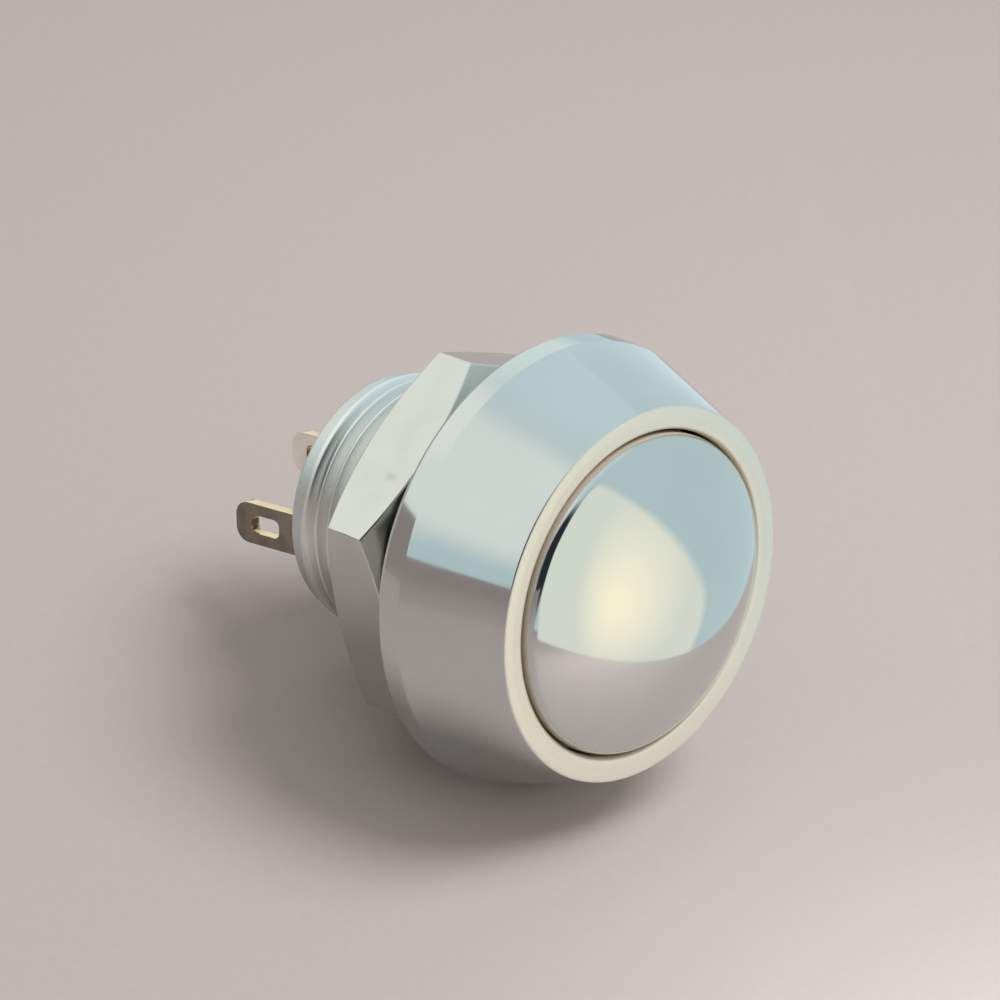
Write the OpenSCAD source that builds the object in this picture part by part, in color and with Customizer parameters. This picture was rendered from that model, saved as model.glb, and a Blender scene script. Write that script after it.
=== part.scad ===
// Anti-vandal push button for panel mounting: a domed actuator in a tapered metal bezel,
// a threaded bush with its hexagon nut, and a two-terminal momentary contact set inside.
// Axis along Y, button facing -Y, origin on the axis in the panel seat behind the bezel.

/* [Bezel] */
// Largest diameter of the bezel, at the panel
rim_d = 20.4; // [19.6:0.1:24]
// Diameter of the bezel where its rear band meets the cone
band_d = 20.2; // [19:0.1:20.4]
// Axial length of the rear band
band_h = 1.2; // [0.6:0.1:2]
// Height of the bezel above the panel
bezel_h = 5.95; // [5.7:0.05:8]
// Outer diameter of the flat front ring
face_d = 16.9; // [16.2:0.1:18.4]
// Bore of the front ring, in which the button moves
mouth_d = 14.7; // [14:0.1:15.6]
// Chamfer on the front ring's inner edge
mouth_c = 0.2; // [0.1:0.05:0.25]
// Depth of the well behind the front ring
well_depth = 4.7; // [4.3:0.05:5.4]
// Chamfer on the bezel's turned edges
edge_c = 0.12; // [0.05:0.01:0.2]

/* [Bush] */
// Major diameter of the thread
bush_d = 12; // [11.8:0.1:13]
// Pitch of the thread
thread_pitch = 0.75; // [0.5:0.05:1]
// Length of the bush behind the panel seat
bush_l = 10.3; // [10:0.1:14]
// Plain collar between the seat and the thread
collar_l = 0.5; // [0.3:0.1:1]
// Length of the plain end behind the thread
tail_l = 0.9; // [0.6:0.1:1.5]
// Diameter of the plain end
tail_d = 11.6; // [11.2:0.05:11.7]
// Bore of the rear chamber
chamber_d = 9.7; // [9.5:0.05:10.1]
// Thickness of the web between the well and the chamber
web_t = 2.45; // [2.2:0.05:2.8]
// Axial length of the lip rolled over the terminal base
lip_l = 0.55; // [0.4:0.05:0.7]
// How far the rolled lip reaches in over the base
lip_w = 0.3; // [0.2:0.05:0.35]

/* [Nut] */
// Width across the nut's flats
nut_af = 16; // [15.4:0.1:18]
// Thickness of the nut
nut_t = 3.4; // [2.5:0.05:4]
// Distance from the panel seat to the nut's front face
nut_gap = 1.75; // [1:0.05:4]
// Angle of the nut's end chamfers
nut_chamfer = 27.5; // [15:0.5:30]
// Turn of the nut about the bush
nut_turn = 16.8; // [0:0.1:60]

/* [Button] */
// Diameter of the button's stem
stem_d = 4; // [3.6:0.1:4.4]
// Height of the dome above its edge
dome_h = 2.25; // [1.6:0.05:2.5]
// How far the dome's edge stands before the front ring
dome_rise = 0.15; // [0:0.05:0.3]
// Rounding of the dome's edge
dome_edge_r = 0.6; // [0.4:0.05:0.7]
// Wall of the button's skirt
skirt_t = 1; // [0.8:0.1:1.4]
// Depth of the button's flat underside behind the dome's edge
roof_drop = 0.2; // [0.1:0.05:0.4]
// Travel of the button
travel = 1.6; // [1.2:0.1:1.8]
// Travel before the contacts meet
contact_gap = 1; // [0.8:0.05:1.1]
// Length of stem left behind the clip
clip_land = 0.25; // [0.2:0.05:0.4]
// Depth of the groove for the stem clip
clip_groove = 0.5; // [0.4:0.05:0.6]
// Outer diameter of the stem clip
clip_d = 6; // [5.4:0.1:6.4]
// Thickness of the stem clip
clip_t = 0.4; // [0.3:0.05:0.5]
// Thickness of the washer behind the guide bush
washer_t = 0.3; // [0.2:0.05:0.5]

/* [Guide and seals] */
// Bore in the web for the stem seal and the guide bush
gland_d = 6; // [5.7:0.1:6.4]
// Thickness of the lip that keeps the stem seal in the web
gland_lip_t = 0.35; // [0.25:0.05:0.5]
// Thickness of the guide bush's flange
guide_flange_t = 0.6; // [0.4:0.05:0.8]
// Mean diameter of the panel seal
panel_seal_d = 16; // [14.8:0.1:17]
// Cord diameter of the panel seal
panel_seal_cord = 1; // [0.8:0.05:1.2]
// Depth of the panel seal's groove
panel_seal_depth = 0.85; // [0.7:0.05:1]

/* [Springs] */
// Wire of the return spring
return_wire = 0.5; // [0.35:0.05:0.6]
// Mean coil diameter of the return spring
return_coil_d = 8.8; // [7.6:0.1:9.6]
// Turns of the return spring
return_turns = 4; // [3:0.5:5]
// Wire of the contact spring
contact_wire = 0.25; // [0.2:0.05:0.3]
// Mean coil diameter of the contact spring
contact_coil_d = 3; // [2.4:0.1:3.2]
// Turns of the contact spring
contact_turns = 3; // [2.5:0.5:3.5]

/* [Plunger and moving contact] */
// Diameter of the plunger's neck
neck_d = 4.4; // [4.2:0.1:4.8]
// Length of the plunger's neck
neck_l = 1.1; // [1:0.05:1.3]
// Diameter of the plunger's head
head_d = 6; // [5.6:0.1:6.2]
// Length of the plunger's head
head_l = 0.9; // [0.8:0.05:1]
// Depth of the spring pocket in the plunger's head
pocket_depth = 0.6; // [0.4:0.05:0.65]
// Diameter of the stem's spigot in the plunger
spigot_d = 2; // [1.6:0.1:2.4]
// Length of the stem's spigot
spigot_l = 0.85; // [0.7:0.05:0.95]
// Sheet thickness of the moving contact
cup_t = 0.3; // [0.2:0.05:0.35]
// Outer diameter of the moving contact's flange
cup_flange_d = 8.2; // [7.8:0.1:8.3]

/* [Base and terminals] */
// Thickness of the terminal base
base_t = 1.75; // [1.5:0.05:2]
// Wall of the insulating sleeve
sleeve_t = 0.4; // [0.3:0.05:0.45]
// Sheet thickness of the terminals
lug_t = 0.5; // [0.4:0.05:0.6]
// Width of the solder lugs
lug_w = 2; // [1.8:0.1:2.6]
// Reach of the outer lug behind the bush
outer_lug_l = 5.4; // [4.8:0.1:8]
// Reach of the centre lug behind the bush
centre_lug_l = 5; // [4.8:0.1:8]
// Angle at which the lugs are bent to one side behind the bush
lug_bend = 10; // [0:1:15]
// Corner radius at the lugs' tips
lug_r = 0.7; // [0.4:0.05:0.9]
// Width of the terminals' necks in the base
lug_neck_w = 1.3; // [1.1:0.05:1.5]
// Gap between the bush and the lugs' shoulders
shoulder_gap = 0.6; // [0.4:0.1:1]
// Width of the eyelet slots
slot_w = 0.9; // [0.8:0.05:1.2]
// Length of the eyelet slots
slot_l = 1.6; // [1.2:0.1:2.2]
// Corner radius of the eyelet slots
slot_r = 0.3; // [0.1:0.05:0.4]
// Distance from a lug's tip to its slot
slot_end = 0.85; // [0.8:0.05:1.2]
// Outer terminal, place along X
outer_x = -3.1; // [-3.2:0.05:-2.9]
// Outer terminal, place of its lug along Z
outer_z = -1.5; // [-2.4:0.05:-1.4]
// Outer terminal, place of its neck along Z
outer_neck_z = -1.5; // [-1.9:0.05:-1.4]
// Centre terminal, place of its lug along Z
centre_z = 1.15; // [0.7:0.05:1.2]
// Centre terminal, place of its neck along Z
centre_neck_z = 0.8; // [0.5:0.05:0.8]
// Outer diameter of the contact ring
ring_d = 8.5; // [8.2:0.1:8.6]
// Bore of the contact ring
ring_bore_d = 5.2; // [4.8:0.1:5.4]
// Diameter of the centre contact's pad
pad_d = 3; // [2.8:0.1:3.4]
// Pitch circle of the rivets
rivet_pcd = 6.9; // [6.7:0.05:7.1]
// Diameter of the rivets' heads
rivet_head_d = 1.1; // [0.9:0.05:1.3]
// Diameter of the rivets' shanks
rivet_shank_d = 0.7; // [0.5:0.05:0.8]
// Length of the rivets' shanks in the base
rivet_depth = 1; // [0.6:0.05:1.2]
// Height of the silver contact faces
contact_h = 0.2; // [0.15:0.05:0.25]

/* [Clearances] */
// Gap round the button in the mouth
mouth_gap = 0.15; // [0.1:0.05:0.35]
// Gap left behind the button's skirt at full travel
end_gap = 0.2; // [0.1:0.05:0.3]
// Radial gap of sliding and located pieces
fit_gap = 0.03; // [0.02:0.01:0.05]
// Radial gap between the nut and the thread
thread_gap = 0.05; // [0.04:0.01:0.1]
// Axial gap between pieces that only touch
seat_gap = 0.05; // [0.03:0.01:0.06]
// Radial gap round loose hidden pieces
loose_gap = 0.12; // [0.1:0.01:0.15]

/* [Hidden] */
$fn = 96;

// Overrun of cutting tools
over = 1;

// Places along the axis, from the front to the rear
face_y = -bezel_h;
well_y = face_y + well_depth;
web_y = well_y + web_t;
gland_y = well_y + gland_lip_t;
flange_y = web_y + guide_flange_t;
washer_y = flange_y + seat_gap;
clip_y = washer_y + washer_t + seat_gap;
stem_end_y = clip_y + clip_t + seat_gap + clip_land;
head_y = stem_end_y + neck_l;
head_end_y = head_y + head_l;
thread_end_y = bush_l - tail_l;
lip_y = bush_l - lip_l;
base_y = lip_y - base_t;
ring_y = base_y - lug_t;
meet_y = ring_y - contact_h;
cup_end_y = meet_y - contact_gap;
cup_floor_y = cup_end_y - cup_t;
cup_lip_y = head_y - seat_gap - cup_t;
shoulder_y = bush_l + shoulder_gap;

// Radii of the turned pieces
rim_r = rim_d / 2;
band_r = band_d / 2;
face_r = face_d / 2;
mouth_r = mouth_d / 2;
bush_r = bush_d / 2;
tail_r = tail_d / 2;
chamber_r = chamber_d / 2;
stem_r = stem_d / 2;
gland_r = gland_d / 2;
filling_r = chamber_r - seat_gap;
groove_r = stem_r - clip_groove;

// Dome of the button
cap_r = mouth_r - mouth_gap;
dome_y = face_y - dome_rise;
dome_r = (cap_r * cap_r + dome_h * dome_h) / (2 * dome_h);
dome_centre_y = dome_y - dome_h + dome_r;
dome_edge_in_r = cap_r - dome_edge_r;
dome_edge_y = dome_centre_y - sqrt(pow(dome_r - dome_edge_r, 2) - pow(dome_edge_in_r, 2));
roof_y = dome_y + roof_drop;
skirt_y = well_y - travel - end_gap;

// Seals, as compressed in their seats
stem_seal_r = (gland_r - stem_r - 2 * fit_gap) / 2;
guide_y = gland_y + 2 * stem_seal_r + seat_gap;
seal_in_r = (panel_seal_d - panel_seal_cord) / 2;
seal_out_r = (panel_seal_d + panel_seal_cord) / 2;

// Thread form, as one ridge for each pitch
thread_depth = 0.6134 * thread_pitch;
thread_mouth = thread_pitch * 7 / 8;
thread_root = thread_pitch / 4;
thread_count = floor((thread_end_y - collar_l) / thread_pitch);
thread_step = (thread_end_y - collar_l) / thread_count;

// Turns a profile of [radius, place along the axis] points about the Y axis
module turned(points) {
    rotate([-90, 0, 0])
        rotate_extrude()
            polygon(points);
}

// Round bar about the Y axis, from one place to another
module bar(r, from_y, to_y) {
    translate([0, from_y, 0])
        rotate([-90, 0, 0])
            cylinder(r = r, h = to_y - from_y);
}

// Plain tube about the Y axis
module tube(outer_r, inner_r, from_y, to_y) {
    turned([[inner_r, from_y], [outer_r, from_y], [outer_r, to_y], [inner_r, to_y]]);
}

// Rubber ring about the Y axis
module o_ring(mean_r, cord_r, y) {
    translate([0, y, 0])
        rotate([-90, 0, 0])
            rotate_extrude()
                translate([mean_r, 0])
                    circle(r = cord_r);
}

// Points of a wire coil about the Y axis, ring by ring, with closed end turns
function coil_rise(turn, turns, wire, length) =
    let (free = length - 3 * wire, active = turns - 2)
    turn < 1 ? wire * turn
        : turn > turns - 1 ? length - wire - wire * (turns - turn)
        : wire + free * (turn - 1) / active;

function coil_ring(turn, turns, mean_r, wire, length, sides) = [
    for (side = [0 : sides - 1])
        let (
            angle = 360 * side / sides,
            r = mean_r + wire / 2 * cos(angle),
            y = wire / 2 + coil_rise(turn, turns, wire, length) + wire / 2 * sin(angle)
        )
        [r * cos(360 * turn), y, r * sin(360 * turn)]
];

module coil(mean_r, wire, turns, from_y, to_y) {
    sides = 8;
    steps = round(24 * turns);
    rings = [
        for (i = [0 : steps])
            each coil_ring(turns * i / steps, turns, mean_r, wire, to_y - from_y, sides)
    ];
    walls = [
        for (i = [0 : steps - 1], side = [0 : sides - 1])
            let (next = (side + 1) % sides, a = i * sides, b = a + sides)
            [a + side, b + side, b + next, a + next]
    ];
    first_end = [for (side = [0 : sides - 1]) side];
    last_end = [for (side = [sides - 1 : -1 : 0]) steps * sides + side];
    translate([0, from_y, 0])
        polyhedron(rings, concat([first_end], walls, [last_end]));
}

// Rectangle with rounded corners, from the origin along the first axis
module rounded(length, width, r) {
    translate([0, r - width / 2])
        square([length, width - 2 * r]);
    translate([r, -width / 2])
        square([length - 2 * r, width]);
    for (x = [r, length - r], y = [r - width / 2, width / 2 - r])
        translate([x, y])
            circle(r = r);
}

// Flat plate drawn in Y and Z and centred on one place along X
module plate(x, thickness) {
    translate([x - thickness / 2, 0, 0])
        rotate([90, 0, 90])
            linear_extrude(thickness)
                children();
}

// Outline of a solder lug and of its neck through the base
module lug_outline(neck_z, lug_z, length) {
    lug_corner_r = min(lug_r, lug_w / 2);
    neck_y = base_y - lug_t / 2;
    tip_y = bush_l + length;
    translate([neck_y, neck_z - lug_neck_w / 2])
        square([shoulder_y - neck_y + lug_corner_r, lug_neck_w]);
    difference() {
        union() {
            translate([shoulder_y, lug_z])
                rounded(tip_y - shoulder_y, lug_w, lug_corner_r);
            translate([shoulder_y, lug_z - lug_w / 2])
                square([lug_corner_r, lug_w]);
        }
        translate([tip_y - slot_end - slot_l, lug_z])
            rounded(slot_l, slot_w, slot_r);
    }
}

// Sheet on edge along Z, straight through the base and bent to -X where it leaves the bush
module bent_sheet(length) {
    half = lug_t / 2;
    mitre = half * tan(lug_bend / 2);
    reach = length + over;
    shift = [-reach * tan(lug_bend), reach];
    side = [half / cos(lug_bend), 0];
    translate([0, bush_l, -filling_r])
        linear_extrude(2 * filling_r)
            polygon([
                [-half, -bush_l],
                [half, -bush_l],
                [half, mitre],
                shift + side,
                shift - side,
                [-half, -mitre]
            ]);
}

// Solder lug with its neck
module lug(x, neck_z, lug_z, length) {
    translate([x, 0, 0])
        intersection() {
            bent_sheet(length);
            plate(0, 2 * length)
                lug_outline(neck_z, lug_z, length);
        }
}

// Ridges of the thread, as points of the bush's outline
function thread_points() = [
    for (k = [0 : thread_count - 1])
        let (y = collar_l + thread_step * (k + 0.5))
        each [
            [bush_r, y - thread_mouth / 2],
            [bush_r - thread_depth, y - thread_root / 2],
            [bush_r - thread_depth, y + thread_root / 2],
            [bush_r, y + thread_mouth / 2]
        ]
];

module bezel_body() {
    front = [
        [mouth_r, face_y + mouth_c],
        [mouth_r + mouth_c, face_y],
        [face_r - edge_c, face_y],
        [face_r, face_y + edge_c],
        [band_r, -band_h],
        [rim_r, -2 * edge_c],
        [rim_r - edge_c, 0]
    ];
    seat = [
        [seal_out_r, 0],
        [seal_out_r, -panel_seal_depth],
        [seal_in_r, -panel_seal_depth],
        [seal_in_r, 0],
        [bush_r, 0]
    ];
    rear = [
        [bush_r, thread_end_y],
        [tail_r, thread_end_y + bush_r - tail_r],
        [tail_r, bush_l - 2 * edge_c],
        [tail_r - 2 * edge_c, bush_l],
        [chamber_r - lip_w, bush_l],
        [chamber_r - lip_w, lip_y]
    ];
    inside = [
        [chamber_r, lip_y],
        [chamber_r, web_y],
        [gland_r, web_y],
        [gland_r, gland_y],
        [stem_r + loose_gap, gland_y],
        [stem_r + loose_gap, well_y],
        [mouth_r, well_y]
    ];
    color([0.80, 0.81, 0.80])
        turned(concat(front, seat, thread_points(), rear, inside));
}

// Rounded edge of the dome, as points of the button's outline from the dome to its side
function dome_edge_points() = [
    for (slope = [45, 60, 75, 90])
        [dome_edge_in_r + dome_edge_r * sin(slope), dome_edge_y - dome_edge_r * cos(slope)]
];

module push_button() {
    edge = dome_edge_points();
    lead = edge[0] - [4, 4 * tan(40)];
    color([0.82, 0.83, 0.82]) {
        difference() {
            intersection() {
                translate([0, dome_centre_y, 0])
                    sphere(r = dome_r);
                turned(concat([[0, skirt_y], [0, lead[1]], lead], edge, [[cap_r, skirt_y]]));
            }
            bar(cap_r - skirt_t, roof_y, skirt_y + over);
        }
        difference() {
            bar(stem_r, roof_y - roof_drop, stem_end_y);
            tube(stem_r + over, groove_r, clip_y - fit_gap, clip_y + clip_t + fit_gap);
        }
        bar(spigot_d / 2, stem_end_y - over, stem_end_y + spigot_l);
    }
}

module hex_nut() {
    flat_r = nut_af / 2;
    corner_r = flat_r / cos(30);
    bore_r = bush_r + thread_gap;
    land_r = flat_r - edge_c;
    end_c = (corner_r - land_r) * tan(nut_chamfer);
    lead = 3 * edge_c;
    color([0.80, 0.81, 0.79])
        translate([0, nut_gap, 0])
            difference() {
                intersection() {
                    rotate([-90, 0, 0])
                        rotate([0, 0, nut_turn])
                            cylinder(r = corner_r, h = nut_t, $fn = 6);
                    turned([
                        [0, 0],
                        [land_r, 0],
                        [corner_r, end_c],
                        [corner_r, nut_t - end_c],
                        [land_r, nut_t],
                        [0, nut_t]
                    ]);
                }
                turned([
                    [0, -over],
                    [bore_r + lead + over, -over],
                    [bore_r, lead],
                    [bore_r, nut_t - lead],
                    [bore_r + lead + over, nut_t + over],
                    [0, nut_t + over]
                ]);
            }
}

module panel_seal() {
    // Pressed to the depth of its groove
    side_gap = fit_gap;
    round_c = panel_seal_cord / 4;
    in_r = seal_in_r + side_gap;
    out_r = seal_out_r - side_gap;
    color([0.10, 0.10, 0.11])
        turned([
            [in_r + round_c, -panel_seal_depth],
            [out_r - round_c, -panel_seal_depth],
            [out_r, -panel_seal_depth + round_c],
            [out_r, -fit_gap - round_c],
            [out_r - round_c, -fit_gap],
            [in_r + round_c, -fit_gap],
            [in_r, -fit_gap - round_c],
            [in_r, -panel_seal_depth + round_c]
        ]);
}

module stem_seal() {
    color([0.12, 0.12, 0.13])
        o_ring((stem_r + gland_r) / 2, stem_seal_r, gland_y + stem_seal_r);
}

module guide_bush() {
    bore_r = stem_r + fit_gap;
    color([0.88, 0.87, 0.82])
        turned([
            [bore_r, guide_y],
            [gland_r - fit_gap, guide_y],
            [gland_r - fit_gap, web_y],
            [filling_r, web_y],
            [filling_r, flange_y],
            [bore_r, flange_y]
        ]);
}

module return_spring() {
    color([0.62, 0.63, 0.64])
        coil(return_coil_d / 2, return_wire, return_turns, roof_y, well_y);
}

module stem_washer() {
    color([0.90, 0.89, 0.85])
        tube(clip_d / 2, stem_r + fit_gap, washer_y, washer_y + washer_t);
}

module stem_clip() {
    ring_w = clip_d / 8;
    outer_r = clip_d / 2;
    color([0.45, 0.46, 0.48])
        translate([0, clip_y, 0])
            rotate([-90, 0, 0])
                linear_extrude(clip_t)
                    difference() {
                        union() {
                            difference() {
                                circle(r = outer_r);
                                circle(r = outer_r - ring_w);
                            }
                            for (angle = [0, 90, 180])
                                rotate(angle)
                                    translate([0, -ring_w])
                                        square([outer_r - ring_w / 2, 2 * ring_w]);
                        }
                        circle(r = groove_r + fit_gap);
                        translate([-groove_r, -outer_r - over])
                            square([2 * groove_r, outer_r + over]);
                    }
}

module plunger() {
    pocket_r = contact_coil_d / 2 + contact_wire / 2 + loose_gap;
    color([0.16, 0.15, 0.15])
        difference() {
            union() {
                bar(neck_d / 2, stem_end_y, head_y + over / 2);
                bar(head_d / 2, head_y, head_end_y);
            }
            bar(spigot_d / 2 + fit_gap, stem_end_y - over, stem_end_y + spigot_l + seat_gap);
            bar(pocket_r, head_end_y - pocket_depth, head_end_y + over);
        }
}

module contact_cup() {
    in_r = head_d / 2 + loose_gap;
    color([0.80, 0.66, 0.36])
        turned([
            [neck_d / 2 + loose_gap, cup_lip_y],
            [in_r + cup_t, cup_lip_y],
            [in_r + cup_t, cup_floor_y],
            [cup_flange_d / 2, cup_floor_y],
            [cup_flange_d / 2, cup_end_y],
            [0, cup_end_y],
            [0, cup_floor_y],
            [in_r, cup_floor_y],
            [in_r, cup_lip_y + cup_t],
            [neck_d / 2 + loose_gap, cup_lip_y + cup_t]
        ]);
}

module contact_spring() {
    color([0.66, 0.62, 0.50])
        coil(contact_coil_d / 2, contact_wire, contact_turns, head_end_y - pocket_depth, cup_floor_y);
}

module insulating_sleeve() {
    color([0.86, 0.84, 0.76])
        tube(filling_r, filling_r - sleeve_t, flange_y, base_y);
}

// Places the rivets' shape round the contact ring, clear of the outer terminal's neck
module rivet_places() {
    lug_angle = atan2(outer_neck_z, outer_x);
    for (turn = [60, 180, 300])
        rotate([0, -(lug_angle + turn), 0])
            translate([rivet_pcd / 2, 0, 0])
                children();
}

module terminal_base() {
    neck_room = lug_neck_w + 2 * fit_gap;
    color([0.13, 0.12, 0.12])
        difference() {
            bar(filling_r, base_y, lip_y);
            plate(outer_x, lug_t + 2 * fit_gap)
                translate([base_y - over, outer_neck_z - neck_room / 2])
                    square([base_t + 2 * over, neck_room]);
            plate(0, lug_t + 2 * fit_gap)
                translate([base_y - over, centre_neck_z - neck_room / 2])
                    square([base_t + 2 * over, neck_room]);
            rivet_places()
                bar(rivet_shank_d / 2 + fit_gap, base_y - over, base_y + rivet_depth + fit_gap);
        }
}

module outer_terminal() {
    color([0.80, 0.72, 0.52]) {
        difference() {
            tube(ring_d / 2, ring_bore_d / 2, ring_y, base_y);
            rivet_places()
                bar(rivet_shank_d / 2 + fit_gap, ring_y - over, base_y + over);
        }
        lug(outer_x, outer_neck_z, outer_z, outer_lug_l);
    }
}

module centre_terminal() {
    color([0.80, 0.72, 0.52]) {
        bar(pad_d / 2, ring_y, base_y);
        lug(0, centre_neck_z, centre_z, centre_lug_l);
    }
}

module ring_rivets() {
    color([0.88, 0.88, 0.86])
        rivet_places() {
            bar(rivet_head_d / 2, meet_y, ring_y);
            bar(rivet_shank_d / 2, ring_y - contact_h / 2, base_y + rivet_depth);
        }
}

module centre_contact() {
    flat_r = pad_d / 4;
    color([0.88, 0.88, 0.86])
        turned([[0, meet_y], [flat_r, meet_y], [flat_r + contact_h, ring_y], [0, ring_y]]);
}

bezel_body();
push_button();
hex_nut();
panel_seal();
stem_seal();
guide_bush();
return_spring();
stem_washer();
stem_clip();
plunger();
contact_cup();
contact_spring();
insulating_sleeve();
terminal_base();
outer_terminal();
centre_terminal();
ring_rivets();
centre_contact();
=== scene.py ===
import math

import bmesh
import bpy
from mathutils import Matrix, Vector


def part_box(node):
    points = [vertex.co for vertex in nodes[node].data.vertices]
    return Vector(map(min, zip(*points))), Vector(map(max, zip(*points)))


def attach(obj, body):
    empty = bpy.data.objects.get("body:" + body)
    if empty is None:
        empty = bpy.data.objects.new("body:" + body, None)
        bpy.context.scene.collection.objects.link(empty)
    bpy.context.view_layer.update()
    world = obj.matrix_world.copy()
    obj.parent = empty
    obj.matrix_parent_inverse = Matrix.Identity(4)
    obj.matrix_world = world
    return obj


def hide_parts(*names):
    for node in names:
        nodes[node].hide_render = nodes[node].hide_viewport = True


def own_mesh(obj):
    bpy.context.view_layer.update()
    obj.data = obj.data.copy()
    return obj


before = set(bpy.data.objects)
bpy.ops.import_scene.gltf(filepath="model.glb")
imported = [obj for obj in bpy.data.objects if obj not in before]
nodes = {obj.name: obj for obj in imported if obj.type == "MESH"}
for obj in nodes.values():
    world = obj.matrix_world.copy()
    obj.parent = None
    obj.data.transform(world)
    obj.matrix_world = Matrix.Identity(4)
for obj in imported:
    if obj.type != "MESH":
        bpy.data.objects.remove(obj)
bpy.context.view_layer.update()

# Looks of a panel push button: turned, plated metal with a true thread, in a plain pale studio.
# Lengths are in millimetres in the part's own frame, and become metres where a mesh is made.
# The axis runs along Y, the button faces -Y, and the panel seat lies at y = 0.

MM = 0.001


def reach(node, axis, high=True):
    """Where a CAD node ends along one axis, in millimetres."""
    low_corner, high_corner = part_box(node)
    return (high_corner if high else low_corner)["xyz".index(axis)] / MM


# Places along the axis that the frame gives
face_y = reach("bezel_body", "y", high=False)
bush_end_y = reach("bezel_body", "y")
dome_tip_y = reach("push_button", "y", high=False)
spigot_end_y = reach("push_button", "y")
nut_front_y = reach("hex_nut", "y", high=False)
nut_rear_y = reach("hex_nut", "y")
well_y = reach("return_spring", "y")
roof_y = reach("return_spring", "y", high=False)
base_rear_y = reach("terminal_base", "y")
clip_y = reach("stem_clip", "y", high=False)
clip_rear_y = reach("stem_clip", "y")
stem_end_y = reach("plunger", "y", high=False)
pocket_y = reach("contact_spring", "y", high=False)
cup_floor_y = reach("contact_spring", "y")

# Bezel and bush
rim_r = -reach("bezel_body", "x", high=False)
band_r = 10.1
band_h = 1.2
face_r = 8.45
mouth_r = 7.35
bush_r = 6.0
tail_r = 5.8
chamber_r = 4.85
lip_w = 0.3
collar_l = 0.5
thread_end_y = 9.4
thread_pitch = 0.75
thread_depth = 0.46
web_y = 1.2
gland_r = 3.0
gland_y = -0.9
gland_bore_r = 2.12
seal_in_r = 7.5
seal_out_r = 8.5
seal_depth = 0.85

# Button
cap_r = 7.2
dome_y = face_y - 0.15
dome_edge_r = 0.6
skirt_t = 1.0
skirt_y = -3.05
stem_r = 2.0
clip_groove_r = 1.5
clip_room = 0.03
spigot_r = 1.0

# Nut
nut_flat_r = 8.0
nut_land_r = 7.88
nut_bore_r = 6.05
nut_lead = 0.36
nut_chamfer = math.radians(27.5)
nut_corner_angle = math.radians(-16.8)

# Springs
return_wire = 0.5
return_coil_r = 4.4
return_turns = 4
contact_wire = 0.25
contact_coil_r = 1.5
contact_turns = 3

# Rounding of edges and fineness of the meshes
edge_round = 0.12
soft_round = 0.25
mouth_round = 0.25
fine_round = 0.06
round_steps = 5
turn_steps = 256
dome_steps = 56
dome_edge_steps = 16
# Columns of points round the nut, a multiple of six so that one lies on each corner
nut_steps = 384
wire_sides = 12
wire_steps = 48
bevel_steps = 3
bevel_angle = math.radians(18)
# Points nearer than this in metres become one, and edges steeper than these angles stay sharp
join_distance = 2e-7
sharp_angle = math.radians(35)
nut_sharp_angle = math.radians(20)
normal_weight = 100
# Edges of the CAD nodes that stay: their rounding, and how their split corners and flats are joined first
cad_round = 0.05
cad_bevel_steps = 2
cad_bevel_angle = math.radians(40)
cad_join_distance = 1e-6
cad_flat_angle = math.radians(1)


def filleted(corners, closed):
    """Outline through (r, y, rounding) corners, each rounded by an arc."""
    points = []
    count = len(corners)
    for i, (r, y, rounding) in enumerate(corners):
        corner = Vector((r, y))
        end = not closed and i in (0, count - 1)
        if end or rounding == 0:
            points.append((r, y))
            continue
        before = Vector(corners[i - 1][:2]) - corner
        after = Vector(corners[(i + 1) % count][:2]) - corner
        half = before.angle(after) / 2
        cut = min(rounding / math.tan(half), before.length / 2, after.length / 2)
        arc_r = cut * math.tan(half)
        centre = corner + (before.normalized() + after.normalized()).normalized() * (arc_r / math.sin(half))
        start = corner + before.normalized() * cut - centre
        stop = corner + after.normalized() * cut - centre
        sweep = start.angle_signed(stop)
        for k in range(round_steps + 1):
            spoke = start.copy()
            spoke.rotate(Matrix.Rotation(-sweep * k / round_steps, 2))
            points.append(tuple(centre + spoke))
    return points


def arc(centre_r, centre_y, arc_r, from_slope, to_slope, steps):
    """Points of an arc in the outline, between two slopes against the front plane."""
    slopes = [from_slope + (to_slope - from_slope) * k / steps for k in range(steps + 1)]
    return [(centre_r + arc_r * math.sin(slope), centre_y - arc_r * math.cos(slope)) for slope in slopes]


def ring_point(r, y, angle):
    """A point at one radius, place and angle about the axis, in metres."""
    return Vector((r * math.cos(angle), y, r * math.sin(angle))) * MM


def add_grid(mesh, rows):
    """Faces between rows of points of equal length."""
    made = [[mesh.verts.new(p) for p in row] for row in rows]
    for low, high in zip(made, made[1:]):
        for k in range(len(low) - 1):
            mesh.faces.new((low[k], low[k + 1], high[k + 1], high[k]))


def angles():
    """Angles of the columns of a turned mesh, the first one twice."""
    return [2 * math.pi * k / turn_steps for k in range(turn_steps + 1)]


def add_turned(mesh, outline):
    """Outline of (r, y) points turned about the axis."""
    add_grid(mesh, [[ring_point(r, y, a) for a in angles()] for r, y in outline])


def finished(mesh, name, sharp=sharp_angle):
    """A smooth object from a mesh whose grids meet in shared points."""
    bmesh.ops.remove_doubles(mesh, verts=mesh.verts, dist=join_distance)
    bmesh.ops.dissolve_degenerate(mesh, edges=mesh.edges, dist=join_distance / 2)
    bmesh.ops.recalc_face_normals(mesh, faces=mesh.faces)
    data = bpy.data.meshes.new(name)
    mesh.to_mesh(data)
    mesh.free()
    data.shade_smooth()
    data.set_sharp_from_angle(angle=sharp)
    piece = bpy.data.objects.new(name, data)
    bpy.context.scene.collection.objects.link(piece)
    weigh_normals(piece)
    return piece


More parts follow.
